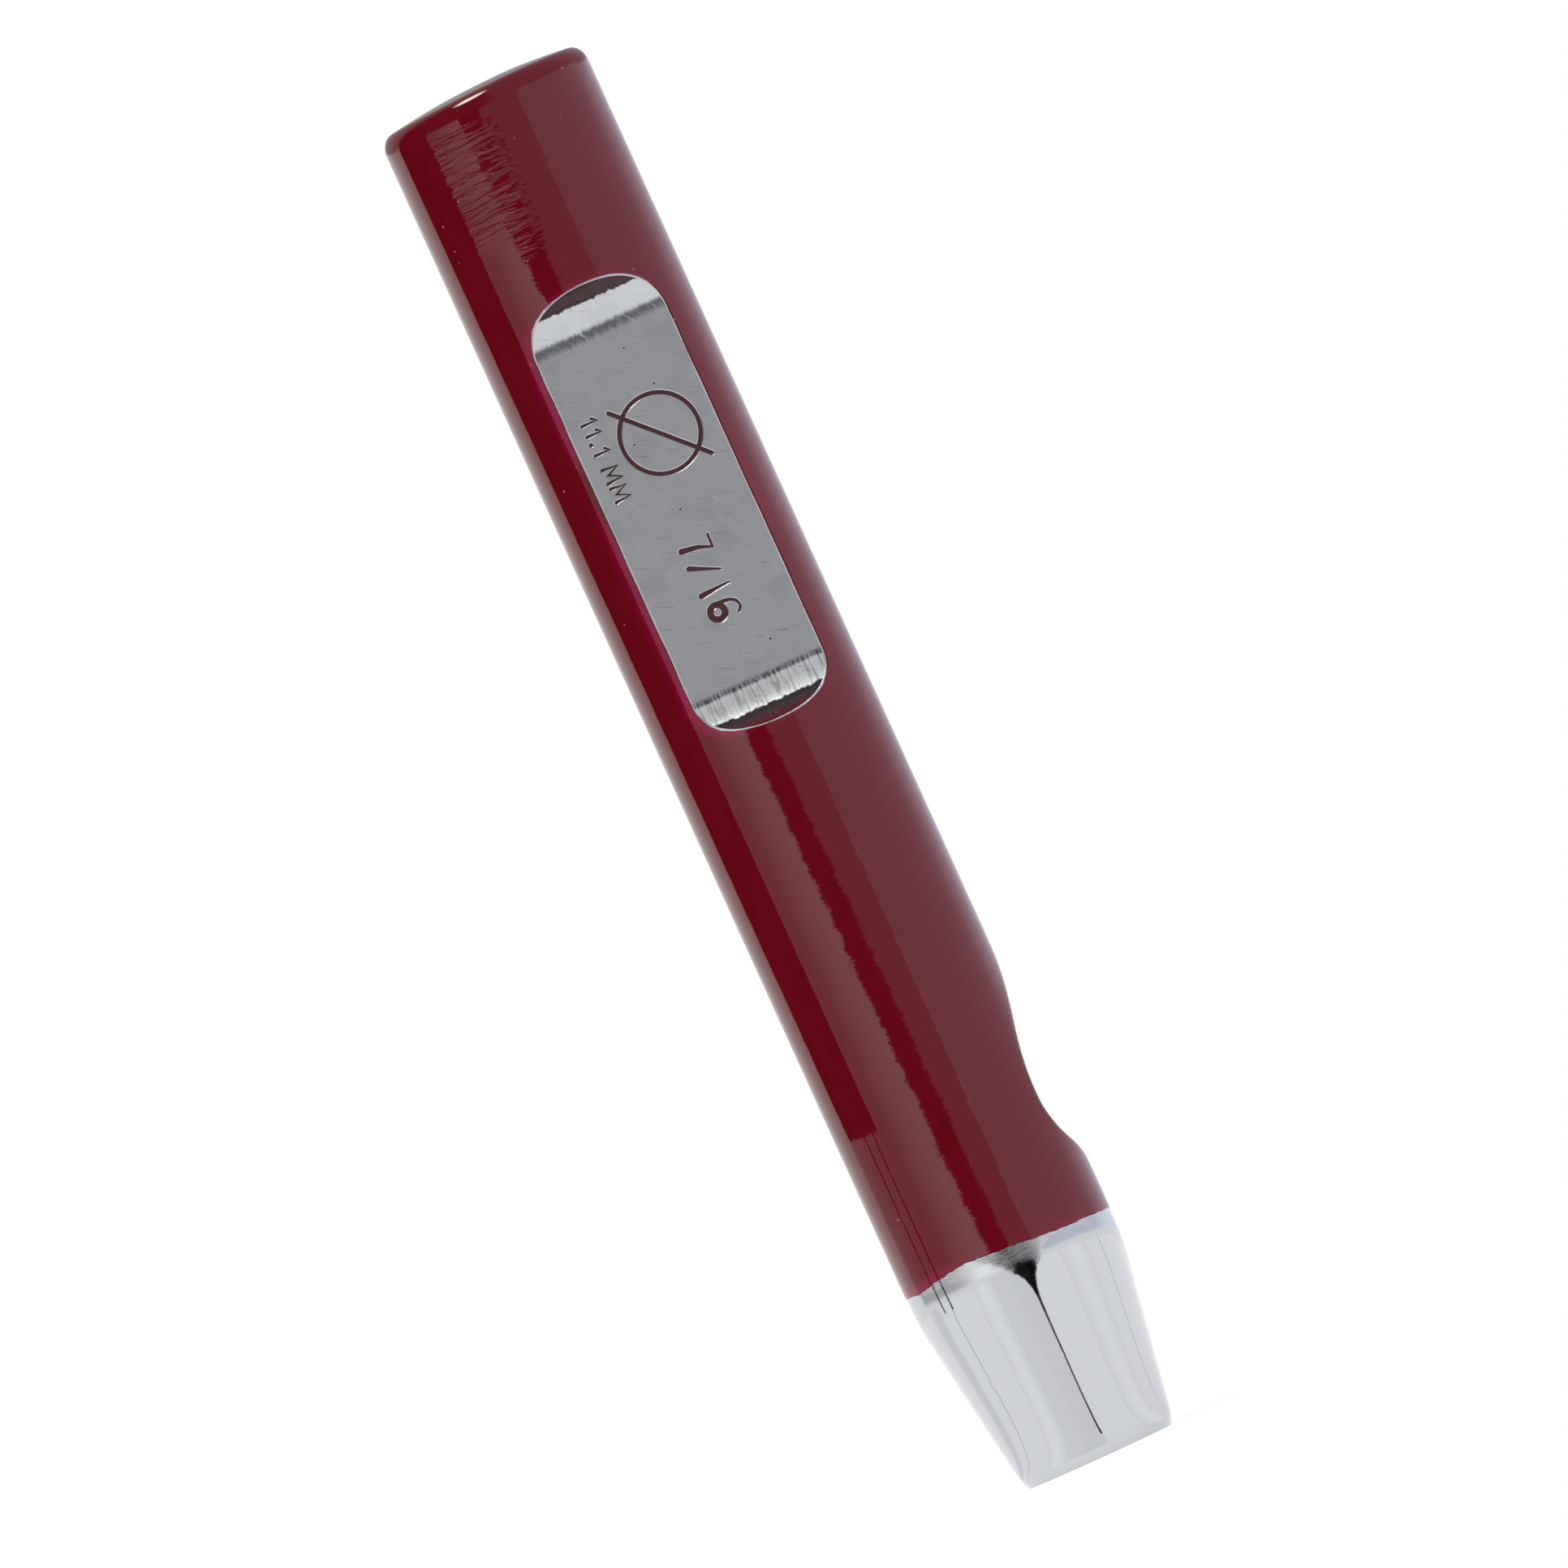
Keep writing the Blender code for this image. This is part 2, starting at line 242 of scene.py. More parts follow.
def head_rows(radius, top, fine):
    """Radius and height from near the middle of the head over the dome and round the fillet."""
    tilt = math.asin((radius - HEAD_FILLET) / DOME_RADIUS)
    rim = radius - HEAD_FILLET + HEAD_FILLET * math.sin(tilt)
    r = np.concatenate(([0.5, 1.5], np.linspace(FACE_RADIUS, rim, fine)))
    fall = np.maximum(r * r - FACE_RADIUS**2, 0) / (2 * DOME_RADIUS)
    dome = np.column_stack((r, top - fall))
    centre = (radius - HEAD_FILLET, dome[-1][1] - HEAD_FILLET * math.cos(tilt))
    fillet = bend(centre, HEAD_FILLET, tilt - math.pi / 2, 0, 2 * fine)
    fillet[:, 1] = dome[-1][1] - RIM_STRETCH * (dome[-1][1] - fillet[:, 1])
    return np.vstack((dome, fillet[1:]))


def shank_rows(radius, start, end):
    """Radius and height down the straight shank, closer at the flat's ends and the window."""
    stations = [
        (start, 1.5), (91.8, 0.2), (87.1, 1.3), (61.0, 0.2), (57.0, 1.4),
        (41.2, 0.4), (17.4, 0.16), (end, 0),
    ]
    z = [spaced(a, b, step) for (a, step), (b, _) in zip(stations, stations[1:])]
    z = np.concatenate(z[:-1] + [z[-1], [end]])
    return np.column_stack((np.full(len(z), radius), z))


def tip_rows():
    """Radius and height down the shoulder, the cone and the honed bevel to the edge."""
    corner = (BAR_RADIUS - CONE_FOOT) / math.tan(CONE_ANGLE)
    round_off = SHOULDER_RUN / math.tan(CONE_ANGLE / 2)
    centre = (BAR_RADIUS - round_off, corner + SHOULDER_RUN)
    shoulder = bend(centre, round_off, 0, CONE_ANGLE, 17)
    z = np.concatenate((
        spaced(shoulder[-1][1], PASS_HEIGHT, 0.4)[1:],
        [PASS_HEIGHT + 0.03, PASS_HEIGHT - 0.03],
        spaced(PASS_HEIGHT, HONED_HEIGHT, 0.4)[1:],
    ))
    relief = 0.012 * (z < PASS_HEIGHT)  # the lower pass was ground a little deeper
    cone = np.column_stack((CONE_FOOT + z * math.tan(CONE_ANGLE) - relief, z))
    start = (CONE_FOOT + HONED_HEIGHT * math.tan(CONE_ANGLE) - 0.012, HONED_HEIGHT)
    across = start[0] - EDGE_RADIUS
    turn = math.atan2(across, HONED_HEIGHT) - CONE_ANGLE
    radius = math.hypot(across, HONED_HEIGHT) / (2 * math.sin(turn))
    centre = (
        start[0] - radius * math.cos(CONE_ANGLE),
        start[1] + radius * math.sin(CONE_ANGLE),
    )
    honed = bend(centre, radius, CONE_ANGLE, CONE_ANGLE + 2 * turn, 12)
    return np.vstack((shoulder[1:], cone, honed))


# ---------------------------------------------------------------- cuts into the bar


def flat_section(z):
    """Distance of the milled surface from the axis: level, and rising in an arc at each end."""
    rise = COAT_RADIUS - FLAT_DISTANCE
    section = np.full_like(z, FLAT_DISTANCE)
    for start, run, side in ((FLAT_FOOT, FOOT_RUN, -1), (FLAT_HEAD, HEAD_RUN, 1)):
        radius = (run * run + rise * rise) / (2 * rise)
        s = np.clip(side * (z - start), 0, None)
        inside = np.clip(s / radius, 0, 0.94)
        arc = radius * (1 - np.sqrt(1 - inside**2)) + 2.8 * np.clip(s - 0.94 * radius, 0, None)
        section = section + arc
    return section


def window_section(z, skin):
    """Distance of the window's floor from the axis: two arcs from its lowest line, then slopes."""
    up = z - WINDOW_HEIGHT
    lip, ramp = LIP_RADIUS - skin, RAMP_RADIUS - skin
    lip_end, ramp_end = lip * math.sin(LIP_SLOPE), ramp * math.sin(RAMP_SLOPE)
    down = np.clip(-up, 0, None)
    low = lip - np.sqrt(lip**2 - np.clip(down, 0, lip_end) ** 2)
    low = low + np.clip(down - lip_end, 0, None) * math.tan(LIP_SLOPE)
    rise = np.clip(up, 0, None)
    high = ramp - np.sqrt(ramp**2 - np.clip(rise, 0, ramp_end) ** 2)
    high = high + np.clip(rise - ramp_end, 0, None) * math.tan(RAMP_SLOPE)
    return WINDOW_FLOOR + skin + np.where(up < 0, low, high)


def smaller(a, b, blend):
    """The smaller of two lengths, with their crossing rounded over a blend length."""
    h = np.clip(0.5 + 0.5 * (b - a) / blend, 0, 1)
    return b * (1 - h) + a * h - blend * h * (1 - h)


def surface(angle, radius, z, skin, with_flat=True):
    """Points of the cut bar: how far a level ray from the grid's centre gets.

    The ray ends at the round bar, the milled flat or the window's floor, whichever comes
    first; the bar and the window's floor meet in a rounded rim.
    """
    scale = radius / COAT_RADIUS
    cx, cy = CENTRE[0] * scale, CENTRE[1] * scale
    dx, dy = np.cos(angle), np.sin(angle)
    along = cx * dx + cy * dy
    bar = -along + np.sqrt(along**2 - cx**2 - cy**2 + radius**2)

    def to_cut(section, turn):
        nx, ny = math.cos(turn), math.sin(turn)
        facing = nx * dx + ny * dy
        gap = section - (nx * cx + ny * cy)
        return np.where(facing > 0.05, gap / np.maximum(facing, 0.05), 1e3)

    t = smaller(to_cut(window_section(z, skin), WINDOW_TURN), bar, RIM_BLEND)
    if with_flat:
        t = np.minimum(t, to_cut(flat_section(z), FLAT_TURN))
    return np.stack((cx + t * dx, cy + t * dy, z + 0 * t), -1)


# ---------------------------------------------------------------- grid that follows outlines


def snapped(angle, z, outline):
    """Moves grid points onto the curve where outline(angle, z) is zero.

    Of each grid edge that the curve crosses, the nearer end slides down the gradient to
    the curve, so the curve runs through points and along edges of the grid.
    Returns the grid and the side each point is on, zero on the curve.
    """
    value = outline(angle, z)
    step = 1e-4

    def slope():
        across = (outline(angle + step, z) - outline(angle - step, z)) / (2 * step)
        along = (outline(angle, z + step) - outline(angle, z - step)) / (2 * step)
        return across / COAT_RADIUS, along

    across, along = slope()
    distance = np.abs(value) / np.maximum(np.hypot(across, along), 1e-6)
    chosen = np.zeros(value.shape, bool)
    for axis in (0, 1):
        crossed = value * np.roll(value, -1, axis) < 0
        if axis == 0:
            crossed[-1] = False
        nearer = distance <= np.roll(distance, -1, axis)
        chosen |= crossed & nearer
        chosen |= np.roll(crossed & ~nearer, 1, axis)
    for _ in range(8):
        across, along = slope()
        size = np.maximum(across**2 + along**2, 1e-9)
        gap = np.where(chosen, outline(angle, z), 0)
        gap = np.clip(gap, -0.2 * np.sqrt(size), 0.2 * np.sqrt(size))
        angle = angle - gap * across / size / COAT_RADIUS
        z = z - gap * along / size
    side = np.sign(outline(angle, z))
    side[chosen] = 0
    return angle, z, side


def grid_faces(side):
    """Triangles of a grid that closes round, split so that no diagonal crosses an outline.

    side holds one layer per outline. Faces look outwards when rows run downwards.
    """
    rows = side.shape[1]
    number = np.arange(rows * COLUMNS).reshape(rows, COLUMNS)
    a, b = number[:-1], np.roll(number[:-1], -1, 1)
    c, d = np.roll(number[1:], -1, 1), number[1:]
    turned = np.zeros(a.shape, bool)
    for layer in side.reshape(len(side), -1):
        turned |= (layer[b] == 0) & (layer[d] == 0)
        turned |= layer[a] * layer[c] < 0
    first = np.where(turned[..., None], np.stack((a, d, b), -1), np.stack((a, d, c), -1))
    second = np.where(turned[..., None], np.stack((b, d, c), -1), np.stack((a, c, b), -1))
    return np.concatenate((first.reshape(-1, 3), second.reshape(-1, 3)))


def past(faces, layer):
    """Which triangles lie on the outline's positive side."""
    return layer.reshape(-1)[faces].sum(1) > 0


def start_grid(rows):
    """Angle, radius and height of each grid point."""
    angle = np.linspace(0, 2 * np.pi, COLUMNS, endpoint=False)
    angle, z = np.meshgrid(angle, rows[:, 1])
    return angle, np.repeat(rows[:, :1], COLUMNS, 1), z


def with_pole(points, faces, height, ring_start, upwards):
    """The grid closed by a fan at one end."""
    ring = ring_start + np.arange(COLUMNS)
    after = np.roll(ring, -1)
    top = np.full(COLUMNS, len(points))
    fan = (top, ring, after) if upwards else (top, after, ring)
    return np.vstack((points, [[0, 0, height]])), np.concatenate((faces, np.column_stack(fan)))


def slanted(points):
    """The head leans: the further to the left, the lower it sits, in a smooth bend."""
    weight = np.clip((points[:, 2] - 100) / 6, 0, 1) ** 2
    across = points[:, 0] - 2
    lean = (across - np.sqrt(across**2 + 4)) / 2 * HEAD_SLANT * weight
    return np.column_stack((points[:, :2], points[:, 2] + lean))


def ragged(turn, seed):
    """A small uneven wave round the punch or along it, about -1 to 1."""
    parts = ((3, 0.5), (8, 0.4), (17, 0.35), (31, 0.3), (57, 0.25))
    return sum(size * np.sin(count * turn + seed * (1 + 0.7 * count)) for count, size in parts)


# ---------------------------------------------------------------- steel and lacquer


def steel_mesh():
    """Closed bar: head, shank with flat and window, shoulder, cone, honed bevel, edge."""
    head = head_rows(BAR_RADIUS, STEEL_TOP, 5)
    tip = tip_rows()
    corner = (BAR_RADIUS - CONE_FOOT) / math.tan(CONE_ANGLE)
    shank = shank_rows(BAR_RADIUS, head[-1][1], corner + SHOULDER_RUN)
    rows = np.vstack((head, shank[1:], tip))
    angle, radius, z = start_grid(rows)

    def flat_edge(angle, z):
        return -surface(angle, radius, z, 0, False)[..., 1] - flat_section(z)

    angle, z, side = snapped(angle, z, flat_edge)
    points = surface(angle, radius, z, 0).reshape(-1, 3)
    faces = grid_faces(side[None])
    on_flat = past(faces, side)
    points, faces = with_pole(points, faces, STEEL_TOP, 0, True)
    points, faces = with_pole(points, faces, 0, (len(rows) - 1) * COLUMNS, False)
    slots = np.zeros(len(faces), int)
    slots[: len(on_flat)] = on_flat
    return slanted(points), faces, slots


def coat_mesh():
    """Outer skin of lacquer, open at the flat and at its foot, and how thin it lies."""
    head = head_rows(COAT_RADIUS, HEAD_TOP, 6)
    shank = shank_rows(COAT_RADIUS, head[-1][1], 15.0)
    rows = np.vstack((head, shank[1:]))
    angle, radius, z = start_grid(rows)

    def flat_edge(angle, z):
        p = surface(angle, radius, z, SKIN, False)
        worn = 0.022 * ragged(z / 5, 1.3) + 0.02 * ragged(angle * 2, 2.1)
        return -p[..., 1] - flat_section(z) + 0.035 + worn

    def foot_edge(angle, z):
        front = np.clip(np.cos(angle - FLAT_TURN + VIEW_TURN), 0, 1) ** 2
        return COAT_FOOT + 0.62 * front + 0.06 * ragged(angle, 0.6) - z

    angle, z, foot = snapped(angle, z, foot_edge)
    angle, z, flat = snapped(angle, z, flat_edge)
    points = surface(angle, radius, z, SKIN, False).reshape(-1, 3)
    faces = grid_faces(np.stack((foot, flat)))
    faces = faces[~(past(faces, foot) | past(faces, flat))]
    at_flat = -flat_edge(angle, z).reshape(-1) / 0.8
    at_foot = -foot_edge(angle, z).reshape(-1)
    bare = np.minimum(at_flat, at_foot)
    points, faces = with_pole(points, faces, HEAD_TOP, 0, True)
    bare = np.append(bare, 90)
    points, faces, used = used_only(points, faces)
    return slanted(points), faces, bare[used]


def burr_mesh():
    """Thin raised edge round the flat: a small round section along the flat's outline.

    The outline is where the bar's circle meets the milled surface; the section's radius
    wavers a little along it.
    """
    half = math.acos(FLAT_DISTANCE / BAR_RADIUS)
    rise = COAT_RADIUS - FLAT_DISTANCE

    def run_out(phi, run):
        radius = (run * run + rise * rise) / (2 * rise)
        up = BAR_RADIUS * np.cos(phi) - FLAT_DISTANCE
        return np.sqrt(np.maximum(radius**2 - (radius - up) ** 2, 0))

    across = half * np.sin(np.linspace(-math.pi / 2, math.pi / 2, 61))
    along = np.linspace(FLAT_FOOT, FLAT_HEAD, 60)[1:-1]
    phi = np.concatenate((across, np.full(58, half), across[::-1], np.full(58, -half)))
    z = np.concatenate((
        FLAT_FOOT - run_out(across, FOOT_RUN), along,
        FLAT_HEAD + run_out(across[::-1], HEAD_RUN), along[::-1],
    ))
    out = np.column_stack((np.sin(phi), -np.cos(phi), 0 * phi))
    path = (BAR_RADIUS - 0.03) * out + np.column_stack((0 * z, 0 * z, z))
    ahead = np.roll(path, -1, 0) - np.roll(path, 1, 0)
    ahead /= np.linalg.norm(ahead, axis=1)[:, None]
    aside = np.cross(ahead, out)
    aside /= np.linalg.norm(aside, axis=1)[:, None]
    count = len(path)
    size = 0.042 + 0.012 * ragged(np.arange(count) * 2 * np.pi / count, 0.9)
    turn = np.linspace(0, 2 * np.pi, 10, endpoint=False)
    cos, sin = np.cos(turn)[None, :, None], np.sin(turn)[None, :, None]
    section = cos * aside[:, None] + sin * out[:, None]
    points = path[:, None] + size[:, None, None] * section
    number = np.arange(count * 10).reshape(count, 10)
    a, b = number, np.roll(number, -1, 1)
    c, d = np.roll(b, -1, 0), np.roll(a, -1, 0)
    return points.reshape(-1, 3), np.stack((a, d, c, b), -1).reshape(-1, 4)


def bore_tool(finish):
    """Solid as wide as the bore, with its drill point, standing out below the edge."""
    taper = (BORE_BACK - BORE_MOUTH) / BORE_DEPTH
    z = np.array([BORE_DEPTH, 28, 26, 24, 22, 20, 16, 12, 8, 4, -2])
    r = BORE_MOUTH + taper * z
    point = BORE_BACK / math.tan(DRILL_POINT)
    tip = np.array([[BORE_BACK * k, BORE_DEPTH + point * (1 - k)] for k in (0.05, 0.35, 0.7)])
    rows = np.vstack((tip, np.column_stack((r, z))))
    angle, radius, height = start_grid(rows)
    points = np.stack((radius * np.cos(angle), radius * np.sin(angle), height), -1)
    faces = grid_faces(np.ones((1, *angle.shape)))
    points, faces = with_pole(points.reshape(-1, 3), faces, BORE_DEPTH + point, 0, True)
    points, faces = with_pole(points, faces, -2, (len(rows) - 1) * COLUMNS, False)
    return points, faces, finish


def pit_tool(node, finish):
    """Solid that cuts a stamped mark: the CAD fill's outline, wider towards the surface."""
    mesh = frame["nodes"][node].data
    mesh.calc_loop_triangles()
    points = np.array([v.co for v in mesh.vertices]) / MM
    triangles = np.array([t.vertices for t in mesh.loop_triangles])
    points, merged = np.unique(points.round(4), axis=0, return_inverse=True)
    triangles = merged.reshape(-1)[triangles]
    front = points[:, 1] < points[:, 1].min() + 0.001
    cap = triangles[front[triangles].all(1)]
    points, cap, _ = used_only(points, cap)
    edges = np.concatenate((cap[:, [0, 1]], cap[:, [1, 2]], cap[:, [2, 0]]))
    known = {tuple(e) for e in edges.tolist()}
    edges = np.array([e for e in edges.tolist() if (e[1], e[0]) not in known])
    across = points[edges[:, 1]] - points[edges[:, 0]]
    out = np.column_stack((-across[:, 2], 0 * across[:, 0], across[:, 0]))
    out /= np.linalg.norm(out, axis=1)[:, None]
    away = np.zeros_like(points)
    np.add.at(away, edges[:, 0], out)
    np.add.at(away, edges[:, 1], out)
    away /= np.maximum((away**2).sum(1), 1.2)[:, None] / 2
    if (away * (points - points.mean(0))).sum() < 0:
        away = -away
    count = len(points)
    levels = []
    for depth, grow in PIT_LEVELS:
        level = points + grow * away
        level[:, 1] = depth - FLAT_DISTANCE
        levels.append(level)
    walls = []
    for k in range(len(levels) - 1):
        a, b = edges[:, 0] + k * count, edges[:, 1] + k * count
        walls += [np.column_stack((b, a, a + count)), np.column_stack((b, a + count, b + count))]
    bottom = cap[:, ::-1] + (len(levels) - 1) * count
    faces = np.concatenate([cap, bottom] + walls)
    return np.vstack(levels), faces, finish


# ---------------------------------------------------------------- materials


def srgb(code):
    """Linear colour from a hex code."""
    parts = [int(code[i : i + 2], 16) / 255 for i in (0, 2, 4)]
    return [p / 12.92 if p <= 0.04045 else ((p + 0.055) / 1.055) ** 2.4 for p in parts] + [1]


def node(tree, kind, links=(), **settings):
    """Adds a node. links maps a socket's name or number to a value or another socket."""
    made = tree.nodes.new("ShaderNode" + kind)
    for name, value in settings.items():
        setattr(made, name, value)
    for name, value in dict(links).items():
        socket = made.inputs[name]
        if isinstance(value, bpy.types.NodeSocket):
            tree.links.new(value, socket)
        else:
            socket.default_value = value
    return made


def maths(tree, operation, a, b=0.0, clamp=False):
    return node(tree, "Math", {0: a, 1: b}, operation=operation, use_clamp=clamp).outputs[0]


def scaled(tree, value, factor, offset):
    made = node(tree, "Math", {0: value, 1: factor, 2: offset}, operation="MULTIPLY_ADD")
    return made.outputs[0]


def step_up(tree, value, low, high):
    """0 below low, 1 above high, smooth between; the other way round where low is above high."""
    made = node(
        tree, "MapRange", {"Value": value, "From Min": low, "From Max": high},
        interpolation_type="SMOOTHSTEP",
    )
    return made.outputs[0]


def mixed(tree, share, a, b):
    """Colour a where share is 0 and b where it is 1."""
    made = node(tree, "Mix", {0: share, 6: a, 7: b}, data_type="RGBA")
    return made.outputs[2]


def millimetres(tree, stretch=(1, 1, 1), turn=(0, 0, 0)):
    """Place on the object in millimetres, multiplied per axis after a turn."""
    place = node(tree, "TexCoord").outputs["Object"]
    turned = node(tree, "Mapping", {"Vector": place, "Rotation": turn}, vector_type="POINT")
    scale = [k / MM for k in stretch]
    return node(
        tree, "VectorMath", {0: turned.outputs[0], 1: scale}, operation="MULTIPLY"
    ).outputs[0]


def noise(tree, vector, detail=2.0, rough=0.5, scale=1.0):
    links = {"Vector": vector, "Scale": scale, "Detail": detail, "Roughness": rough}
    return node(tree, "TexNoise", links).outputs[0]


def spots(tree, stretch, size, choice, more=0.0):
    """Round spots in random cells: size and choice are step_up limits for a spot's edge and
    for how few cells hold one; more is added to a cell's chance.
    """
    cells = node(tree, "TexVoronoi", {"Vector": millimetres(tree, stretch), "Scale": 1.0})
    share = node(tree, "SeparateColor", {0: cells.outputs["Color"]}).outputs[0]
    chance = maths(tree, "ADD", share, more)
    return maths(
        tree, "MULTIPLY", step_up(tree, cells.outputs["Distance"], *size),
        step_up(tree, chance, *choice),
    )


def bumped(tree, heights):
    """Normal from a list of (height from 0 to 1, depth in millimetres)."""
    normal = None
    for height, depth in heights:
        links = {"Height": height, "Strength": 1.0, "Distance": depth * MM}
        if normal is not None:
            links["Normal"] = normal
        normal = node(tree, "Bump", links).outputs[0]
    return normal


def material(name, **values):
    """A material, its node tree and its shader, with uniform values set on the shader."""
    made = bpy.data.materials.new(name)
    made.use_nodes = True
    shader = made.node_tree.nodes["Principled BSDF"]
    for key, value in values.items():
        shader.inputs[key.replace("_", " ")].default_value = value
    return made, made.node_tree, shader


def polished_steel():
    """Hardened tool steel, ground and belt-polished round the punch.

    The last few millimetres under the lacquer's foot were only scuffed with grit.
    """
    made, tree, shader = material("hardened tool steel, polished", Metallic=1.0)
    across, _, height = node(tree, "SeparateXYZ", {0: millimetres(tree)}).outputs
    patchy = noise(tree, millimetres(tree, (1.2, 1.2, 0.8)), 3)
    central = step_up(tree, maths(tree, "ABSOLUTE", across), 2.4, 0.8)
    limit = scaled(tree, patchy, 1.8, scaled(tree, central, 1.2, height))
    scuffed = step_up(tree, limit, 16.5, 17.5)
    fine = noise(tree, millimetres(tree, (0.25, 0.25, 9)), 3, 0.6)
    broad = noise(tree, millimetres(tree, (0.12, 0.12, 1.2)), 2)
    grit = noise(tree, millimetres(tree, (0.9, 0.9, 9)), 3, 0.7)
    speckle = noise(tree, millimetres(tree, (3, 3, 3)), 2)
    smooth_part = scaled(tree, speckle, 0.05, 0.035)
    tree.links.new(scaled(tree, scuffed, 0.05, smooth_part), shader.inputs["Roughness"])
    colour = mixed(tree, scuffed, srgb("C8CACD"), srgb("C6C6C8"))
    tree.links.new(colour, shader.inputs["Base Color"])
    grooves = maths(tree, "MULTIPLY", grit, scuffed)
    normal = bumped(tree, [(fine, 0.0004), (broad, 0.002), (grooves, 0.009)])
    tree.links.new(normal, shader.inputs["Normal"])
    return made


def milled_steel():
    """Tool steel where the flat was milled and linished.

    Its run-outs are streaked by the cutter, and stained brown by lacquer at both ends. Painted
    shade darkens streaky bands where each run-out meets the flat and dims the upper run-out, and
    the lower run-out's near-white colour is a painted sheen on its brushed steel.
    """
    made, tree, shader = material("tool steel, milled flat", Metallic=1.0)
    height = node(tree, "SeparateXYZ", {0: millimetres(tree)}).outputs["Z"]
    diagonal = noise(tree, millimetres(tree, (6, 1, 0.35), (0, math.radians(38), 0)), 3, 0.65)
    cross = noise(tree, millimetres(tree, (0.5, 1, 7), (0, math.radians(-24), 0)), 3, 0.6)
    cloud = noise(tree, millimetres(tree, (0.5, 0.5, 0.35)), 3, 0.55)
    wide = step_up(tree, noise(tree, millimetres(tree, (0.35, 0.35, 0.35)), 2), 0.5, 0.68)
    streaks = noise(tree, millimetres(tree, (5.5, 1.2, 0.3)), 3, 0.65)
    chatter = noise(tree, millimetres(tree, (0.35, 1.5, 2.4)), 3, 0.6)
    ragged_edge = noise(tree, millimetres(tree, (1.6, 1.6, 0.3)), 4, 0.7)
    pit = spots(tree, (0.95, 0, 0.95), (0.10, 0.05), (0.84, 0.86))

    foot = step_up(tree, height, FLAT_FOOT - 0.15, FLAT_FOOT - 0.5)
    wavy = scaled(tree, ragged_edge, 0.7, height)
    stain_head = step_up(tree, wavy, 90.40, 90.52)
    stain_foot = step_up(tree, wavy, 59.15, 59.0)
    # Painted shade: a streaky dark band where the upper run-out leaves the flat (about 87.5 to
    # 88.7 mm), and a weaker streaky one at the flat's lower end (about 60.6 to 61.3 mm).
    shade_height = scaled(tree, streaks, 0.5, height)
    shade = maths(
        tree, "MULTIPLY", step_up(tree, shade_height, 87.55, 88.15),
        step_up(tree, shade_height, 88.72, 88.32),
    )
    low_shade = maths(
        tree, "MULTIPLY", step_up(tree, shade_height, 61.25, 60.95),
        step_up(tree, shade_height, 60.6, 60.8),
    )
    low_shade = maths(tree, "MULTIPLY", low_shade, step_up(tree, streaks, 0.3, 0.62))
    shade = maths(tree, "MAXIMUM", shade, low_shade)

    rough = scaled(tree, cloud, 0.10, 0.10)
    tree.links.new(scaled(tree, foot, 0.30, rough), shader.inputs["Roughness"])
    plain = mixed(tree, cloud, srgb("CACDD1"), srgb("D6D8DB"))
    plain = mixed(tree, maths(tree, "MULTIPLY", wide, 0.3), plain, srgb("B9BABA"))
    # The lower run-out is brushed (rougher, as set above) and painted near white: a painted sheen.
    plain = mixed(tree, foot, plain, srgb("F6F7F6"))
    line = maths(tree, "MULTIPLY", foot, step_up(tree, streaks, 0.46, 0.64))
    plain = mixed(tree, maths(tree, "MULTIPLY", line, 0.6), plain, srgb("8D9090"))
    # Painted shade: the upper run-out above 88.2 mm is dimmed a little.
    painted_dim_band = step_up(tree, height, 88.2, 88.4)
    plain = mixed(tree, maths(tree, "MULTIPLY", painted_dim_band, 0.3), plain, srgb("8E9094"))
    # The bands of painted shade are mixed into the colour here.
    plain = mixed(tree, shade, plain, srgb("65666B"))
    plain = mixed(tree, step_up(tree, diagonal, 0.60, 0.78), plain, srgb("E4E6E8"))
    plain = mixed(tree, step_up(tree, cross, 0.60, 0.78), plain, srgb("9A9CA0"))
    plain = mixed(tree, pit, plain, srgb("3A3230"))
    plain = mixed(tree, stain_head, plain, srgb("483A3D"))
    red = step_up(tree, height, 58.3, 57.5)
    plain = mixed(tree, stain_foot, plain, mixed(tree, red, srgb("332B2D"), srgb("4C161C")))
    tree.links.new(plain, shader.inputs["Base Color"])
    deep = maths(tree, "MULTIPLY", foot, streaks)
    rough_cut = maths(tree, "MULTIPLY", foot, chatter)
    normal = bumped(tree, [
        (diagonal, 0.0009), (cross, 0.0006), (pit, -0.02), (deep, 0.016), (rough_cut, 0.02),
    ])
    tree.links.new(normal, shader.inputs["Normal"])
    return made


def bored_steel():
    """Tool steel as the drill left it: dark, oily rings."""
    made, tree, shader = material("tool steel, drilled bore", Metallic=1.0, Roughness=0.38)
    rings = noise(tree, millimetres(tree, (0.3, 0.3, 6)), 2)
    colour = mixed(tree, rings, srgb("8C8A88"), srgb("B4B2B0"))
    tree.links.new(colour, shader.inputs["Base Color"])
    tree.links.new(bumped(tree, [(rings, 0.006)]), shader.inputs["Normal"])
    return made


def stamped_steel():
    """Tool steel pressed in by the stamps, bright on the slopes."""
    made, _, shader = material("tool steel, stamped", Metallic=1.0, Roughness=0.42)
    shader.inputs["Base Color"].default_value = srgb("C8C6C8")
    return made


def burred_steel():
    """Tool steel turned up by the milling cutter, rubbed bright."""
    made, tree, shader = material("tool steel, rubbed burr", Metallic=1.0, Roughness=0.42)
    worn = noise(tree, millimetres(tree, (1.5, 1.5, 1.5)), 2)
    colour = mixed(tree, worn, srgb("C4C4C8"), srgb("E2E2E6"))
    tree.links.new(colour, shader.inputs["Base Color"])
    return made


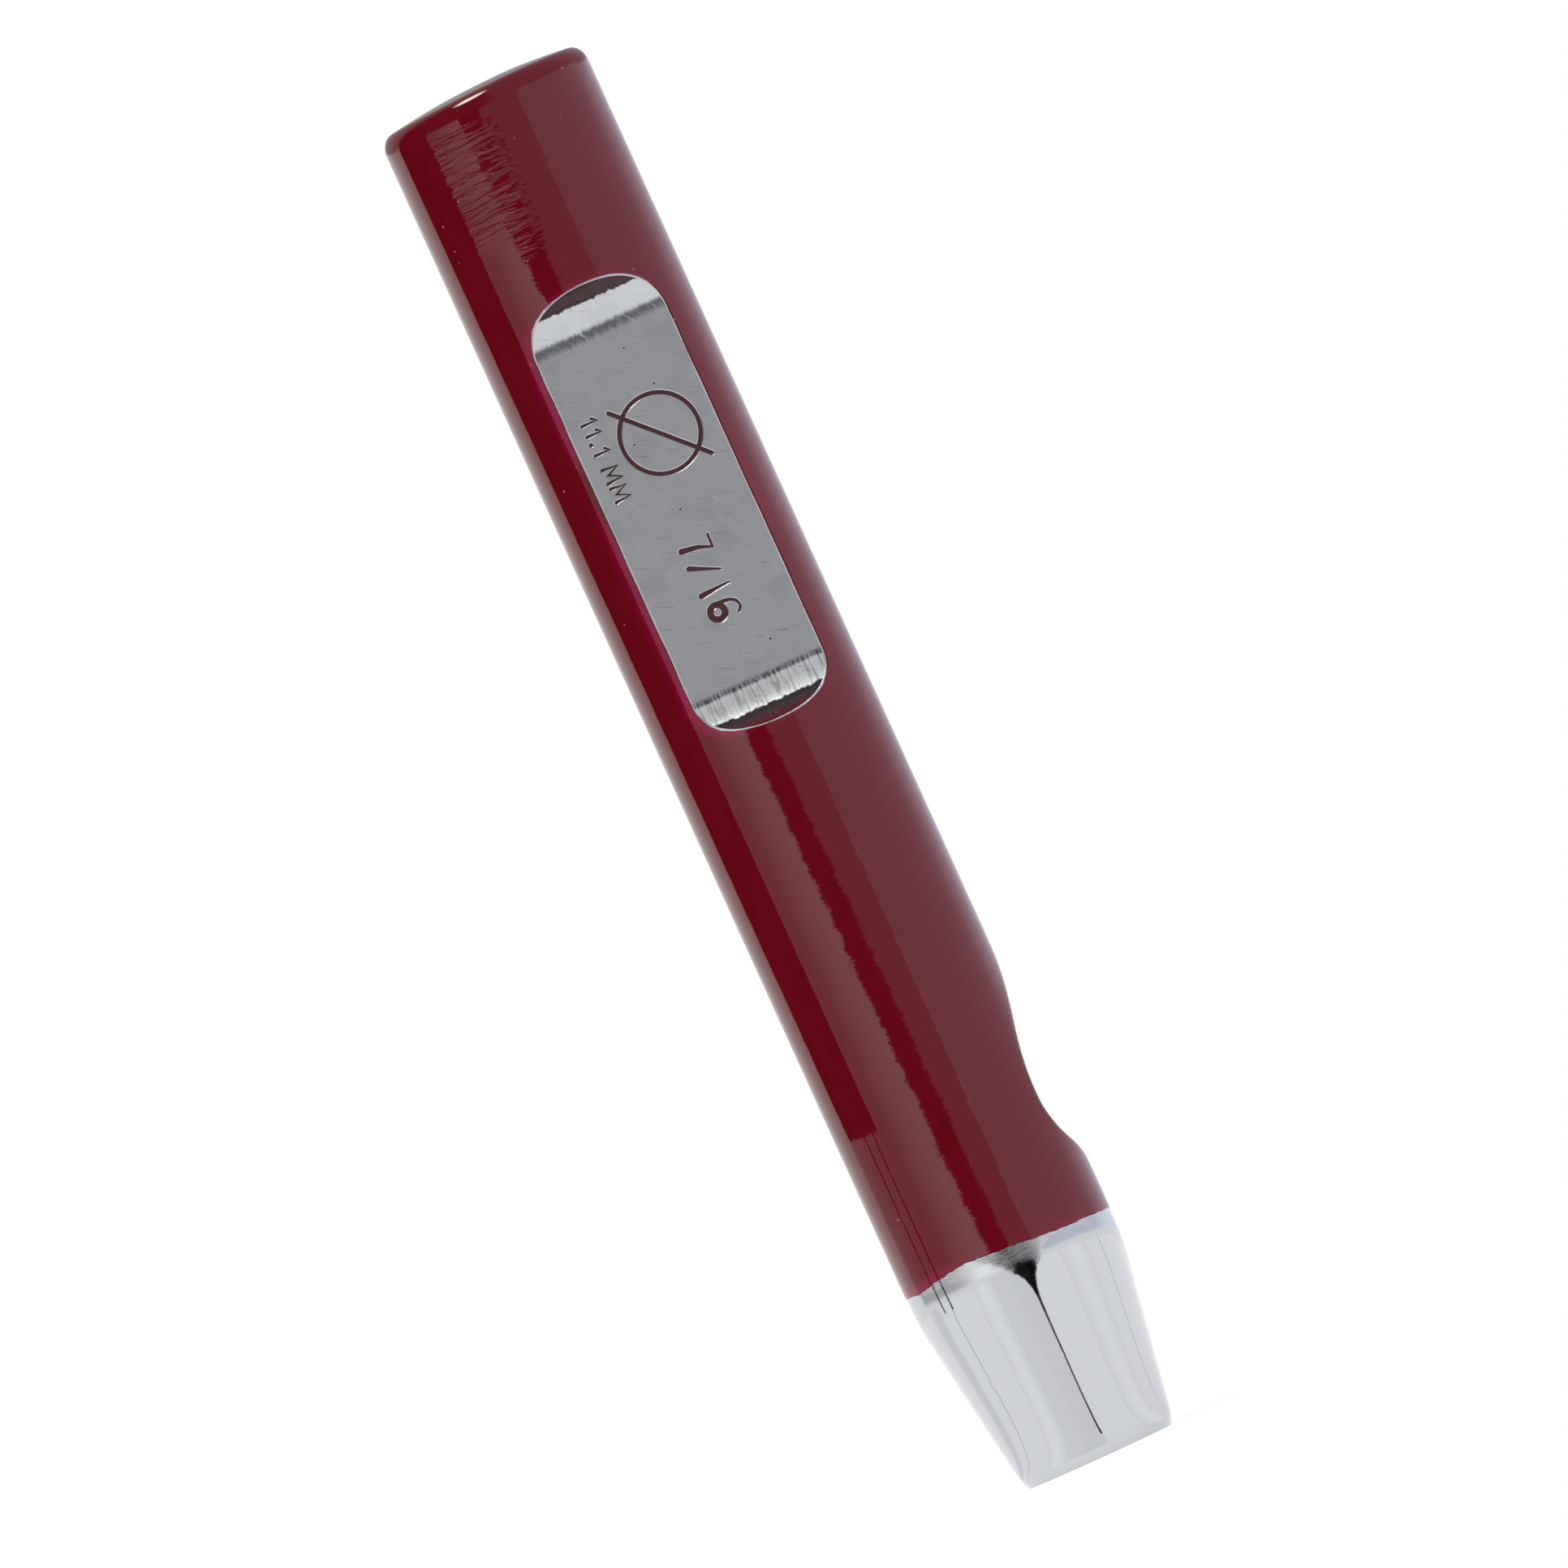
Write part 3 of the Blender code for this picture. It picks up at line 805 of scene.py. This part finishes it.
def red_lacquer():
    """Deep red baked lacquer over steel.

    It runs thin and pinker at the flat and the foot, caught dust while wet (the specks are also
    painted light pink as painted highlights), and shrank into fine wrinkles on one side below the
    head.
    """
    made, tree, shader = material("red baked lacquer", Metallic=0.0, IOR=1.5, Roughness=0.03)
    place = node(tree, "SeparateXYZ", {0: millimetres(tree)})
    x, y, height = place.outputs
    bare = node(tree, "Attribute", attribute_name="bare").outputs["Fac"]
    uneven = noise(tree, millimetres(tree, (0.22, 0.22, 0.16)), 2)
    thin = step_up(tree, bare, 1.15, -0.1)
    left = maths(tree, "MAXIMUM", step_up(tree, x, 0.8, -2.0), step_up(tree, height, 40, 30))
    thin = maths(tree, "MULTIPLY", thin, scaled(tree, left, 0.7, 0.3))
    thin = maths(tree, "MULTIPLY", thin, step_up(tree, uneven, 0.3, 0.7))
    cloud = noise(tree, millimetres(tree, (0.5, 0.5, 0.3)), 3)
    deep = mixed(tree, cloud, srgb("6D0914"), srgb("75101E"))
    colour = mixed(tree, thin, deep, srgb("980C40"))
    edge = maths(
        tree, "MULTIPLY", step_up(tree, bare, 0.1, 0.0), step_up(tree, height, 20, 19)
    )
    colour = mixed(tree, edge, colour, srgb("4A1018"))

    waves = noise(tree, millimetres(tree, (0.3, 0.3, 0.2)), 2)
    peel = noise(tree, millimetres(tree, (1.5, 1.5, 1.0)), 3, 0.6)
    # Dust caught in the wet lacquer gets more frequent towards the head. Each speck is a real dust
    # bump whose light pink colour is a painted highlight standing in for its glint.
    dust_and_glint = spots(
        tree, (0.75, 0.75, 0.75), (0.09, 0.02), (1.03, 1.07), scaled(tree, height, 0.003, 0)
    )
    colour = mixed(tree, dust_and_glint, colour, srgb("C07080"))
    side = maths(tree, "MULTIPLY", step_up(tree, x, -6.2, -5.0), step_up(tree, x, -0.3, -2.4))
    side = maths(tree, "MULTIPLY", side, step_up(tree, y, 0, -2))
    span = maths(
        tree, "MULTIPLY", step_up(tree, height, 94, 99), step_up(tree, height, 105.6, 104.4)
    )
    wrinkled = maths(tree, "MULTIPLY", side, span)
    bent = node(
        tree, "TexNoise",
        {
            "Vector": millimetres(tree, (0.35, 0.35, 2.6)), "Scale": 1.0, "Detail": 2.5,
            "Distortion": 0.5,
        },
    ).outputs[0]
    wrinkle = maths(tree, "MULTIPLY", wrinkled, step_up(tree, bent, 0.36, 0.66))
    tree.links.new(colour, shader.inputs["Base Color"])
    normal = bumped(tree, [(waves, 0.014), (peel, 0.0028), (dust_and_glint, 0.04), (wrinkle, 0.03)])
    tree.links.new(normal, shader.inputs["Normal"])
    return made


def stamp_lacquer():
    """Lacquer left matt and dark in the stamped marks."""
    made, tree, shader = material("red lacquer in the stamps", IOR=1.5, Roughness=0.3)
    cloud = noise(tree, millimetres(tree, (3, 3, 3)), 2)
    colour = mixed(tree, cloud, srgb("380C14"), srgb("58202C"))
    tree.links.new(colour, shader.inputs["Base Color"])
    tree.links.new(bumped(tree, [(cloud, 0.03)]), shader.inputs["Normal"])
    return made


# ---------------------------------------------------------------- stage

SIDE = Vector((math.cos(VIEW_TURN), -math.sin(VIEW_TURN), 0))
FORWARD = Vector((math.sin(VIEW_TURN), math.cos(VIEW_TURN), 0))


def studio_light():
    """White room: soft boxes left and right, a dark doorway in front, a lamp overhead,
    white floor below the horizon and a wall behind the punch that darkens upwards.

    Azimuth is seen from the punch, in degrees from the camera, positive to its right.
    Camera rays see plain white instead.
    """
    world = bpy.data.worlds.new("studio")
    bpy.context.scene.world = world
    world.use_nodes = True
    tree = world.node_tree
    tree.nodes.clear()
    direction = node(tree, "TexCoord").outputs["Generated"]

    def along(axis):
        return node(
            tree, "VectorMath", {0: direction, 1: axis}, operation="DOT_PRODUCT"
        ).outputs["Value"]

    def between(share, a, b):
        return scaled(tree, share, maths(tree, "SUBTRACT", b, a), a)

    turn = maths(tree, "ARCTAN2", along(SIDE), along(-FORWARD))
    azimuth = maths(tree, "MULTIPLY", turn, 180 / math.pi)
    rise = maths(tree, "ARCSINE", along((0, 0, 1)))
    elevation = maths(tree, "MULTIPLY", rise, 180 / math.pi)

    light = scaled(tree, step_up(tree, azimuth, -72, -26), 0.72, 0.56)
    light = between(step_up(tree, azimuth, 20, 34), light, 0.76)
    light = between(step_up(tree, azimuth, 110, 130), light, 0.95)
    light = between(step_up(tree, azimuth, -118, -125), light, 1.0)

    light = between(step_up(tree, elevation, -1.3, -2.4), light, 1.0)
    front = maths(
        tree, "MULTIPLY", step_up(tree, azimuth, -135, -115), step_up(tree, azimuth, 135, 115)
    )
    behind = maths(
        tree, "MULTIPLY", maths(tree, "SUBTRACT", 1.0, front), step_up(tree, elevation, 1.3, 5)
    )
    light = between(behind, light, 0.4)

    # The doorway leans a little and narrows downwards like the letter Y.
    level = maths(tree, "MINIMUM", maths(tree, "MAXIMUM", elevation, -1.2), 1.2)
    closing = maths(tree, "DIVIDE", maths(tree, "ADD", elevation, 13), 12, clamp=True)
    closing = maths(tree, "MULTIPLY", closing, closing)
    left = between(closing, 8.6, scaled(tree, level, -7.5, -24))
    right = between(closing, 11.4, scaled(tree, level, 3.5, 30))
    middle = between(closing, 10, scaled(tree, level, -7.0, -1))
    inside = maths(
        tree, "MULTIPLY",
        step_up(tree, maths(tree, "SUBTRACT", azimuth, left), -0.4, 0.4),
        step_up(tree, maths(tree, "SUBTRACT", right, azimuth), -0.8, 0.8),
    )
    glow = step_up(tree, maths(tree, "SUBTRACT", azimuth, middle), -1.5, 1.5)
    light = between(inside, light, maths(tree, "MULTIPLY", glow, 0.42))

    # Above the boxes the ceiling is dark, but for a lamp nearly overhead.
    ceiling = scaled(tree, step_up(tree, azimuth, -10, 20), 0.36, 0.05)
    ceiling = between(front, 0.4, ceiling)
    light = between(step_up(tree, elevation, 7, 12), light, ceiling)
    lamp_place = Vector((0, 0, math.sin(LAMP_RISE)))
    lamp_place -= math.cos(LAMP_RISE) * math.cos(LAMP_TURN) * FORWARD
    lamp_place += math.cos(LAMP_RISE) * math.sin(LAMP_TURN) * SIDE
    near = along(lamp_place)
    lamp = step_up(tree, near, math.cos(LAMP_SIZE * 1.5), math.cos(LAMP_SIZE * 0.7))
    light = scaled(tree, lamp, LAMP_GLOW, light)

    seen = node(tree, "LightPath").outputs["Is Camera Ray"]
    light = between(seen, light, 1.0)
    cool = maths(
        tree, "MULTIPLY", step_up(tree, azimuth, 0, 60), maths(tree, "SUBTRACT", 1.0, seen)
    )
    cool = maths(tree, "MULTIPLY", cool, step_up(tree, elevation, -2.4, -1.3))
    tint = mixed(tree, cool, (1, 1, 1, 1), (0.95, 0.99, 1.16, 1))
    sky = node(tree, "Background", {"Color": tint, "Strength": light})
    node(tree, "OutputWorld", {"Surface": sky.outputs[0]})
    world.cycles.sampling_method = "MANUAL"
    world.cycles.sample_map_resolution = 1024


def stage_piece(name, points, faces, made):
    piece = put_mesh(name, points, faces, materials=[made])
    return piece


def glowing(name, glow, albedo=0.0):
    """Matt sheet of the studio that also glows by itself: acrylic lit from behind, or cloth."""
    made, _, shader = material(name, Roughness=0.6, Specular_IOR_Level=0)
    shader.inputs["Base Color"].default_value = (albedo, albedo, albedo, 1)
    shader.inputs["Emission Color"].default_value = (1, 1, 1, 1)
    shader.inputs["Emission Strength"].default_value = glow
    return made


def mirrored_sheet(name, points, faces, glow):
    """Part of the room in front of the table that only mirrors show."""
    piece = stage_piece(name, points, faces, glowing(name, glow))
    piece.visible_camera = False
    piece.visible_diffuse = False
    piece.visible_shadow = False


def towards(azimuth):
    """Level directions away from the punch at an azimuth in degrees, and to the right of it."""
    turn = math.radians(azimuth)
    ahead = np.array(math.sin(turn) * SIDE - math.cos(turn) * FORWARD)
    aside = np.array(math.cos(turn) * SIDE + math.sin(turn) * FORWARD)
    return ahead, aside


def ladder(count):
    """Quads between successive rows of two points."""
    return [(2 * k, 2 * k + 1, 2 * k + 3, 2 * k + 2) for k in range(count - 1)]


def strip(name, azimuth, outline, glow, lift):
    """Flat sheet just above the table; outline lists (distance, half its width)."""
    ahead, aside = towards(azimuth)
    points = [d * ahead + k * half * aside + (0, 0, lift) for d, half in outline for k in (-1, 1)]
    mirrored_sheet(name, points, ladder(len(outline)), glow)


def wedge(name, azimuth, half_angle, glow, lift):
    """Strip that fans out over the table from the punch's foot."""
    reach = math.tan(math.radians(half_angle))
    outline = [(d, d * reach) for d in (STRIP_START, STRIP_END)]
    strip(name, azimuth, outline, glow, lift)


def upright(name, left, right, low, high):
    """Black sheet bent round the punch between two azimuths."""
    at = np.radians(np.linspace(left, right, 9))[:, None]
    foot = CARD_DISTANCE * (np.sin(at) * np.array(SIDE) - np.cos(at) * np.array(FORWARD))
    points = np.vstack((foot + (0, 0, low), foot + (0, 0, high)))
    mirrored_sheet(name, points, [(k, k + 1, k + 10, k + 9) for k in range(8)], 0)


def table():
    """White acrylic table lit from below, with what the punch mirrors from in front of it.

    The polished end mirrors the strips that fan out on the table and a funnel at the foot of
    the doorway. The lacquer mirrors a black card on two legs at the left.
    """
    a = np.linspace(0, 2 * math.pi, 96, endpoint=False)
    rim = np.column_stack((TABLE_RADIUS * np.cos(a), TABLE_RADIUS * np.sin(a), 0 * a))
    stage_piece("table", rim, [list(range(96))], glowing("white acrylic", TABLE_GLOW, 0.25))

    wedge("shade, left", -8, 19, 0.96, 0.2)
    wedge("shade, left of middle", 0, 9, 0.93, 0.25)
    wedge("shade, far left", -108, 9, 0.95, 0.2)
    wedge("shade, far left core", -107, 4, 0.89, 0.25)
    for step in range(6):
        glow, lift = 1.01 + 0.022 * step, 0.2 + 0.02 * step
        wedge("bright, left", -38, 11 - 1.6 * step, glow, lift)
        wedge("bright, right", 66, 17 - 2.6 * step, glow, lift)
    wedge("frame, left", -81.5, 0.5, 0.5, 0.3)
    wedge("frame, right", 104, 0.45, 0.55, 0.3)
    strip("doorway on the table", 10, [(9, 0.14), (24, 0.32), (40, 0.7)], 0, 0.5)

    upright("card", -114.3, -70.3, CARD_FOOT, CARD_TOP)
    upright("card, left leg", -90.4, -88.6, LEG_FOOT, CARD_FOOT)
    upright("card, right leg", -78.4, -76.6, LEG_FOOT, CARD_FOOT)

    # The doorway's lower part stands up as a funnel, low enough to be out of the flat's sight.
    ahead, aside = towards(10)
    funnel = [(0, 0.7), (1.7, 0.9), (5.3, 1.75), (8.7, 4.0), (10.6, 7), (12.1, 10.5), (14, 15)]
    points = [
        FUNNEL_DISTANCE * ahead + k * half * aside + (0, 0, z)
        for z, half in funnel for k in (-1, 1)
    ]
    mirrored_sheet("doorway", points, ladder(len(funnel)), 0)


def camera():
    """Long lens level with the middle of the punch, rolled so that the punch leans."""
    made = bpy.data.cameras.new("camera")
    made.sensor_width = 36
    made.lens = 36 * VIEW_DISTANCE / VIEW_WIDTH
    made.clip_start = 0.05
    lens = bpy.data.objects.new("camera", made)
    bpy.context.scene.collection.objects.link(lens)
    bpy.context.scene.camera = lens
    cos, sin = math.cos(VIEW_ROLL), math.sin(VIEW_ROLL)
    above = Vector((0, 0, 1))
    right = cos * SIDE - sin * above
    up = sin * SIDE + cos * above
    aim = VIEW_SIDE * SIDE + VIEW_HEIGHT * above
    place = (aim - VIEW_DISTANCE * FORWARD) * MM
    axes = Matrix((right, up, -FORWARD)).transposed().to_4x4()
    lens.matrix_world = Matrix.Translation(place) @ axes


# ---------------------------------------------------------------- the punch


def build():
    """The punch: steel bar with its cuts, burr, lacquer skin, and lacquer in the stamped marks."""
    milled, bored, stamped = milled_steel(), bored_steel(), stamped_steel()
    points, faces, slots = steel_mesh()
    steel = put_mesh("tool_steel_bar", points, faces, 20, [polished_steel(), milled], slots)
    fills = [name for name in frame["nodes"] if name.endswith("_fill")]
    cut_away(steel, [bore_tool(bored)] + [pit_tool(name, stamped) for name in fills])
    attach(steel, "root")
    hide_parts("steel_body")

    points, faces = burr_mesh()
    burr = put_mesh("flat_edge_burr", points, faces, 60, [burred_steel()])
    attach(burr, "root")

    red = red_lacquer()
    points, faces, bare = coat_mesh()
    coat = put_mesh("lacquer_skin", points, faces, 20, [red])
    point_values(coat, "bare", bare)
    skin = coat.modifiers.new("thickness", "SOLIDIFY")
    skin.thickness = LACQUER * MM
    skin.offset = -1
    settle(coat)
    cut_away(coat, [bore_tool(red)])
    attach(coat, "root")
    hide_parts("lacquer_coat")

    filled = stamp_lacquer()
    for name in fills:
        piece = frame["nodes"][name]
        piece.data.materials.clear()
        piece.data.materials.append(filled)


build()
studio_light()
table()
camera()
view = bpy.context.scene.view_settings
view.view_transform = "Standard"
view.look = "None"
